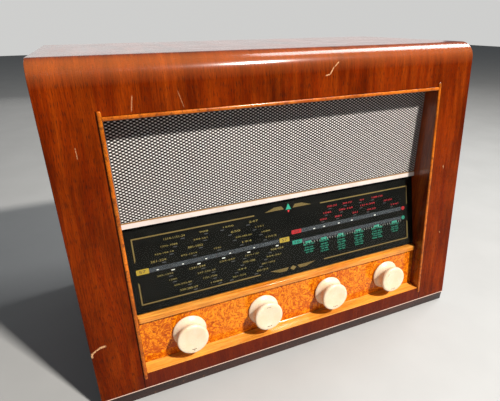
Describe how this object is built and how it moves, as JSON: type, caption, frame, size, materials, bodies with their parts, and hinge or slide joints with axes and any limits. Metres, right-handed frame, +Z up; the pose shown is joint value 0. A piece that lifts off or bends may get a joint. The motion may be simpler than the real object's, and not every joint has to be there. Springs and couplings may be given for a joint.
{
  "type": "tabletop radio",
  "caption": "Table radio in a wooden cabinet with a leaning recessed front: metal grille, glass tuning dial, cream knobs on a burr panel, chassis and loudspeaker inside.",
  "frame": {"origin": "centre of the bounding box's base, on the table under the middle of the set", "axes": "+X along the set's width, to the right as seen from the front; +Y to the back; +Z up"},
  "size_m": [0.52, 0.275, 0.3845],
  "materials": {
    "veneer": "walnut-brown veneer, straight grain, gloss varnish",
    "plywood": "bare plywood",
    "plinth": "dark brown stain, satin",
    "beading": "light wood, gloss varnish",
    "burr": "burr veneer, gloss varnish",
    "bakelite": "cream moulded, semi-gloss",
    "cream_paint": "off-white paint, satin",
    "anodised": "silver expanded metal",
    "black_board": "black stained board",
    "glass": "clear plate glass, printed behind",
    "lamp_glass": "clear glass, silvered tip",
    "dial_black": "black with gold, yellow, red and green print",
    "white_paint": "matt white paint",
    "steel": "zinc-plated sheet and turned steel",
    "aluminium": "plain sheet",
    "laminations": "black lacquered laminations",
    "hardboard": "brown hardboard",
    "paper_cone": "dark grey pulp",
    "rubber": "black, matt",
    "cord": "braided waxed cord",
    "red_paint": "red enamel"
  },
  "bodies": {
    "root": {"front_shell": "veneer", "left_side": "veneer", "right_side": "veneer", "recess_left_wall": "veneer", "recess_right_wall": "veneer", "recess_top_wall": "veneer", "base_board": "plywood", "plinth_front": "plinth", "plinth_left": "plinth", "plinth_right": "plinth", "left_bead": "beading", "right_bead": "beading", "top_bead": "beading", "panel_nosing": "beading", "panel_sill": "beading", "control_panel": "burr", "grille_strip": "cream_paint", "grille_mesh": "anodised", "baffle_board": "black_board", "socket_panel": "black_board", "dial_glass": "glass", "rectifier_valve": "lamp_glass", "output_valve": "lamp_glass", "detector_valve": "lamp_glass", "if_amplifier_valve": "lamp_glass", "frequency_changer_valve": "lamp_glass", "left_dial_lamp": "lamp_glass", "right_dial_lamp": "lamp_glass", "dial_scale": "dial_black", "dial_backplate": "white_paint", "chassis": "steel", "volume_control": "steel", "tone_control": "steel", "waveband_switch": "steel", "tuning_bush": "steel", "speaker_basket": "steel", "speaker_magnet": "steel", "first_if_transformer": "aluminium", "second_if_transformer": "aluminium", "smoothing_capacitor": "aluminium", "gang_frame": "aluminium", "mains_transformer": "laminations", "output_transformer": "laminations", "back_cover": "hardboard", "mains_inlet": "rubber", "drive_cord": "cord"},
    "volume": {"volume_knob": "bakelite", "volume_spindle": "steel"},
    "tone": {"tone_knob": "bakelite", "tone_spindle": "steel"},
    "waveband": {"waveband_knob": "bakelite", "waveband_spindle": "steel"},
    "tuning": {"tuning_knob": "bakelite", "tuning_spindle": "steel"},
    "gang": {"gang_rotor": "aluminium", "drive_drum": "bakelite"},
    "pointer": {"pointer_carriage": "red_paint"},
    "left_pulley": {"left_pulley": "bakelite"},
    "right_pulley": {"right_pulley": "bakelite"},
    "cone": {"speaker_cone": "paper_cone"}
  },
  "joints": [
    {"name": "volume_turn", "type": "hinge", "parent": "root", "child": "volume", "pos_m": [-0.1475, -0.13012, 0.06662], "axis": [0, 0.993, -0.1184], "range_deg": [-150, 150]},
    {"name": "tone_turn", "type": "hinge", "parent": "root", "child": "tone", "pos_m": [-0.0475, -0.13012, 0.06662], "axis": [0, 0.993, -0.1184], "range_deg": [-150, 150]},
    {"name": "waveband_turn", "type": "hinge", "parent": "root", "child": "waveband", "pos_m": [0.0525, -0.13012, 0.06662], "axis": [0, 0.993, -0.1184], "range_deg": [-45, 45]},
    {"name": "tuning_turn", "type": "hinge", "parent": "root", "child": "tuning", "pos_m": [0.1525, -0.13012, 0.06662], "axis": [0, 0.993, -0.1184], "range_deg": [-1068.75, 1068.75]},
    {"name": "gang_turn", "type": "hinge", "parent": "root", "child": "gang", "pos_m": [0.1, -0.066, 0.1465], "axis": [0, 1, 0], "range_deg": [-90.5, 90.5]},
    {"name": "pointer_slide", "type": "slide", "parent": "root", "child": "pointer", "axis": [1, 0, 0], "range_m": [-0.0748, 0.0748]},
    {"name": "left_pulley_turn", "type": "hinge", "parent": "root", "child": "left_pulley", "pos_m": [-0.18, -0.066, 0.198], "axis": [0, 1, 0], "range_deg": [-714, 714]},
    {"name": "right_pulley_turn", "type": "hinge", "parent": "root", "child": "right_pulley", "pos_m": [0.18, -0.066, 0.198], "axis": [0, 1, 0], "range_deg": [-714, 714]},
    {"name": "cone_travel", "type": "slide", "parent": "root", "child": "cone", "axis": [0, 0.9986, -0.053], "range_m": [-0.001, 0.001], "stiffness_N_per_m": 2000}
  ],
  "couplings": [
    {"joint": "gang_turn", "follows": "tuning_turn", "ratio": -0.084211},
    {"joint": "pointer_slide", "follows": "tuning_turn", "m_per_rad": 0.004},
    {"joint": "left_pulley_turn", "follows": "tuning_turn", "ratio": 0.66667},
    {"joint": "right_pulley_turn", "follows": "tuning_turn", "ratio": 0.66667}
  ]
}
